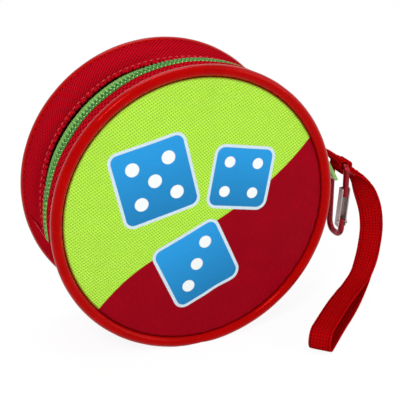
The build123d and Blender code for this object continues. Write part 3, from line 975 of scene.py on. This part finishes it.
class CASE_OT_strap(bpy.types.Operator):
    """Make the wrist strap, a doubled webbing loop that opens like a drop on the floor."""

    bl_idname = "case.strap"
    bl_label = "Wrist strap"

    def execute(self, context):
        size = sizes()
        line = smooth_line(STRAP_ROUTE, 9)
        frames = []
        for i, place in enumerate(line):
            along = direction_at(line, i)
            share = i / (len(line) - 1)
            hanging, lying = ease(share / 0.3), ease((share - 0.4) / 0.3)
            across = EYE_WIDTH.lerp(HANGING_WIDTH, hanging).lerp(LYING_WIDTH, lying)
            across = (across - along * across.dot(along)).normalized()
            frames.append((place, along, across, along.cross(across).normalized(), share))
        thickness = size.webbing_thickness
        half = thickness * 0.52
        stations = []
        for place, _, across, face, share in frames:
            stations.append((place - face * half - layer_slip(across, share), across, face))
        place, along, across, face, _ = frames[-1]
        for step in range(1, BEND_STEPS):
            turn = pi * step / BEND_STEPS
            swing = (along * sin(turn) - face * cos(turn)) * (half + LOOP_OPENING / 2)
            out = place + face * LOOP_OPENING / 2 + swing
            stations.append((out, across, face * cos(turn) - along * sin(turn)))
        for place, _, across, face, share in reversed(frames):
            lift = LOOP_OPENING * ease(((share - SEWN_SHARE) / (1 - SEWN_SHARE) - 0.2) / 0.6)
            over = place + face * (half + lift) + layer_slip(across, share)
            stations.append((over, across, -face))
        bm = webbing_mesh(stations, size.webbing, thickness)
        for vert in bm.verts:
            vert.co.z = max(vert.co.z, 0.05 * MM)
        finish_mesh("strap_webbing", bm, "webbing", "strap", ["wrist_strap"])
        self.box_stitch(frames)
        self.eye_fold()
        return {"FINISHED"}

    def eye_fold(self):
        """The strap's sewn end, folded part of the way round the end of the tab."""
        size = sizes()
        radius = TAB_RING + size.webbing_thickness + 0.12 * MM
        stations = []
        for step in range(17):
            outward = outward_at(FOLD_START + (FOLD_END - FOLD_START) * step / 16)
            stations.append((EYE + outward * radius, EYE_WIDTH, outward))
        bm = webbing_mesh(stations, size.webbing, size.webbing_thickness)
        finish_mesh("strap_eye_fold", bm, "webbing", "strap")

    def box_stitch(self, frames):
        """Two bars of close stitches across the strap where its ends are sewn."""
        size = sizes()
        bm = bmesh.new()
        for index in (2, 5):
            place, along, across, face, _ = frames[index]
            for step in range(9):
                shift = (step - 4) / 8 * size.webbing * 0.82
                for side in (-1, 1):
                    spot = place + across * shift + face * side * size.webbing_thickness * 1.08
                    add_stitch(bm, spot, along, face * side, 1.3 * MM)
        finish_mesh("strap_stitches", bm, "thread", "strap")


class CASE_OT_tab(bpy.types.Operator):
    """Make the webbing tab that is sewn in the seam and folded round the carabiner."""

    bl_idname = "case.tab"
    bl_label = "Strap tab"

    def execute(self, context):
        size = sizes()
        low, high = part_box("strap_tab")
        reach = EYE.x - CASE_RADIUS
        root = drum_point(GUSSET_RADIUS - size.gusset, FOLD_TILT + radians(1), EYE.y)
        crest = Vector((CASE_RADIUS + 0.27 * reach, EYE.y, EYE.z + 8.0 * MM))
        shoulder = Vector((CASE_RADIUS + 0.64 * reach, EYE.y, EYE.z + 5.8 * MM))
        line = smooth_line([root, crest, shoulder, EYE + Vector((-1.7, 0, 1.5)) * MM], 8)
        across = Vector((0, 1, 0))
        half = size.webbing_thickness * 0.5
        upper, lower, ring = [], [], []
        for i, place in enumerate(line):
            face = across.cross(direction_at(line, i)).normalized()
            upper.append((place - face * half, across, face))
            lower.append((place + face * half, across, -face))
        first, last = upper[-1][0] - EYE, lower[-1][0] - EYE
        start, end = atan2(first.z, first.x), atan2(last.z, last.x)
        way, span = -1, (start - end) % (2 * pi)
        if span < pi:
            way, span = 1, 2 * pi - span
        for step in range(1, RING_STEPS):
            outward = outward_at(start + way * span * step / RING_STEPS)
            ring.append((EYE + outward * TAB_RING, across, outward * way))
        stations = upper + ring + lower[::-1]
        bm = webbing_mesh(stations, high.y - low.y, size.webbing_thickness)
        finish_mesh("tab_webbing", bm, "webbing", ROOT_BODY, ["strap_tab"])
        bm = bmesh.new()
        place, _, face = upper[len(upper) * 3 // 4]
        for row in (0, 1.6 * MM):
            for step in range(8):
                spot = place + across * (step - 3.5) * MM - face * (half + 0.08 * MM)
                spot.x -= row
                spot.z += row * 0.55
                add_stitch(bm, spot, across, -face, 0.9 * MM)
        finish_mesh("tab_stitches", bm, "thread", ROOT_BODY)
        return {"FINISHED"}


class CASE_OT_hardware(bpy.types.Operator):
    """Finish the zip, slider, puller, carabiner and timer."""

    bl_idname = "case.hardware"
    bl_label = "Zip and hardware"

    def execute(self, context):
        finishes = {
            "tape": ("zip_tape_back", "zip_tape_front", "zip_end_right", "zip_end_left"),
            "coil": ("zip_coil_back", "zip_coil_front"),
            "enamel": ("slider_body", "puller"),
            "anodised": ("carabiner_body",),
            "silver": ("gate", "gate_rivet"),
            "caps": ("timer_cap_left", "timer_cap_right"),
            "glass": ("timer_glass",),
            "sand": ("timer_sand",),
            "paper": ("leaflet",),
            "flat_red": ("back_panel",),
            "red": ("back_binding",),
        }
        for finish, nodes in finishes.items():
            for node in nodes:
                dress(node, finish)
        return {"FINISHED"}


class CASE_OT_dice(bpy.types.Operator):
    """Print a letter on two faces of each die."""

    bl_idname = "case.dice"
    bl_label = "Letter dice"

    def execute(self, context):
        for index in range(DICE_COUNT):
            node = f"die_{index + 1:02d}"
            dress(node, "ivory")
            low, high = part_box(node)
            middle = (low + high) / 2
            half = (high.y - low.y) / 2
            lean = 0.0
            if index < 2 * DICE_PER_ROW:
                lean = (index % DICE_PER_ROW - (DICE_PER_ROW - 1) / 2) * DICE_SPACING
            across, up, back = outward_at(lean), along_at(lean), Vector((0, 1, 0))
            bm = bmesh.new()
            for right, rise, out in ((across, up, -back), (across, back, up)):
                self.add_letter(bm, LETTERS[index], middle + out * half, right, rise, out)
            name = f"letter_{index + 1:02d}"
            finish_mesh(name, bm, "ink", "letter_" + node, smooth=False)
        return {"FINISHED"}

    def add_letter(self, bm, letter, place, right, rise, out):
        """Add one flat raised letter, centred on a face."""
        text = bpy.data.curves.new("letter", "FONT")
        text.body = letter
        text.size = LETTER_HEIGHT
        text.extrude = LETTER_DEPTH
        text.align_x, text.align_y = "CENTER", "CENTER"
        text.resolution_u = 4
        mesh = curve_mesh(text)
        turn = Matrix((right, rise, out)).transposed().to_4x4()
        mesh.transform(Matrix.Translation(place + out * LETTER_LIFT) @ turn)
        bm.from_mesh(mesh)
        bpy.data.meshes.remove(mesh)


FLOOR_GLOW = 1.03
GLOW_SHARE = 0.88
SKY_LIGHT = 0.4


class CASE_OT_stage(bpy.types.Operator):
    """Set the pale floor, the lamps and the camera."""

    bl_idname = "case.stage"
    bl_label = "Stage"

    def execute(self, context):
        bm = bmesh.new()
        bmesh.ops.create_grid(bm, x_segments=1, y_segments=1, size=3.0)
        mesh = bpy.data.meshes.new("floor")
        bm.to_mesh(mesh)
        bm.free()
        floor = add_object("floor", mesh)
        mesh.materials.append(self.floor_white())
        self.world()
        self.lamp("key", (-0.55, -0.75, 0.95), 0.3, 9.0)
        self.lamp("fill", (0.8, -0.6, 0.55), 0.6, 3.6)
        self.lamp("top", (0.0, 0.35, 1.1), 0.6, 4.0)
        self.camera()
        context.scene.view_settings.view_transform = "Standard"
        return {"FINISHED"}

    def floor_white(self):
        """A white floor that keeps a soft shadow and shows white behind the case."""
        shade = Shade("pale_floor", Roughness=0.9)
        shade.set("Base Color", (0.92, 0.92, 0.92, 1.0))
        glow_values = {"Color": (1, 1, 1, 1), "Strength": FLOOR_GLOW}
        glow = shade.node("ShaderNodeEmission", None, glow_values)
        matt = Value(shade, shade.surface.outputs[0])
        shares = {0: self.seen_rays(shade) * GLOW_SHARE, 1: matt, 2: glow}
        blend = shade.node("ShaderNodeMixShader", None, shares)
        shade.tree.links.new(blend.socket, shade.tree.nodes["Material Output"].inputs["Surface"])
        return shade.material

    def seen_rays(self, shade):
        """1 for rays from the camera, off glossy surfaces and through glass."""
        rays = shade.tree.nodes.new("ShaderNodeLightPath")
        camera, glossy, through = (
            Value(shade, rays.outputs[name])
            for name in ("Is Camera Ray", "Is Glossy Ray", "Is Transmission Ray")
        )
        return camera.most(glossy).most(through)

    def world(self):
        """White to the camera and in reflections, softer as light."""
        world = bpy.data.worlds.new("studio")
        bpy.context.scene.world = world
        world.use_nodes = True
        sky = Nodes(world.node_tree)
        strength = self.seen_rays(sky) * (1 - SKY_LIGHT) + SKY_LIGHT
        background = sky.tree.nodes["Background"]
        background.inputs["Color"].default_value = (1, 1, 1, 1)
        sky.feed(background.inputs["Strength"], strength)

    def lamp(self, name, place, across, power):
        """A square soft lamp aimed at the case."""
        light = bpy.data.lights.new(name, "AREA")
        light.size = across
        light.energy = power
        holder = add_object(name, light)
        holder.location = place
        aim = Vector((0, 0.02, DRUM_HEIGHT)) - Vector(place)
        holder.rotation_euler = aim.to_track_quat("-Z", "Y").to_euler()

    def camera(self):
        """The camera at the photograph's viewing angle."""
        azimuth, elevation, distance = radians(22.3), radians(22.25), 0.435
        focal_pixels, picture_pixels, sensor = 1052.5, 400, 36.0
        target = Vector((1.27 * MM, 0, DRUM_HEIGHT + 4.98 * MM))
        level = Vector((-sin(azimuth), -cos(azimuth), 0)) * cos(elevation)
        toward = level + Vector((0, 0, sin(elevation)))
        lens = bpy.data.cameras.new("camera")
        lens.sensor_width = sensor
        lens.lens = focal_pixels * sensor / picture_pixels
        lens.clip_start, lens.clip_end = 0.01, 20
        view = add_object("camera", lens)
        view.location = target + toward * distance
        view.rotation_euler = (-toward).to_track_quat("-Z", "Y").to_euler()
        bpy.context.scene.camera = view


class CASE_PT_panel(bpy.types.Panel):
    """Lists the case's steps and settings."""

    bl_idname = "CASE_PT_panel"
    bl_label = "Game Case"
    bl_space_type = "VIEW_3D"
    bl_region_type = "UI"
    bl_category = "Game Case"

    def draw(self, context):
        for operator in OPERATORS:
            self.layout.operator(operator.bl_idname)
        for group in (context.scene.case_sizes, context.scene.case_colours):
            for name in group.bl_rna.properties.keys():
                if name not in ("name", "rna_type"):
                    self.layout.prop(group, name)


OPERATORS = (
    CASE_OT_front_cloth,
    CASE_OT_piping,
    CASE_OT_side_cloth,
    CASE_OT_stitching,
    CASE_OT_coil_thread,
    CASE_OT_strap,
    CASE_OT_tab,
    CASE_OT_hardware,
    CASE_OT_dice,
    CASE_OT_stage,
)
CLASSES = (CaseSizes, CaseColours, *OPERATORS, CASE_PT_panel)


def register():
    """Register the classes and hang the settings on the scene."""
    for item in CLASSES:
        bpy.utils.register_class(item)
    bpy.types.Scene.case_sizes = PointerProperty(type=CaseSizes)
    bpy.types.Scene.case_colours = PointerProperty(type=CaseColours)


def unregister():
    """Take the classes and settings away."""
    del bpy.types.Scene.case_sizes
    del bpy.types.Scene.case_colours
    for item in reversed(CLASSES):
        bpy.utils.unregister_class(item)


def main():
    """Make every piece in order."""
    register()
    for operator in OPERATORS:
        group, name = operator.bl_idname.split(".")
        getattr(getattr(bpy.ops, group), name)()


if __name__ == "__main__":
    main()
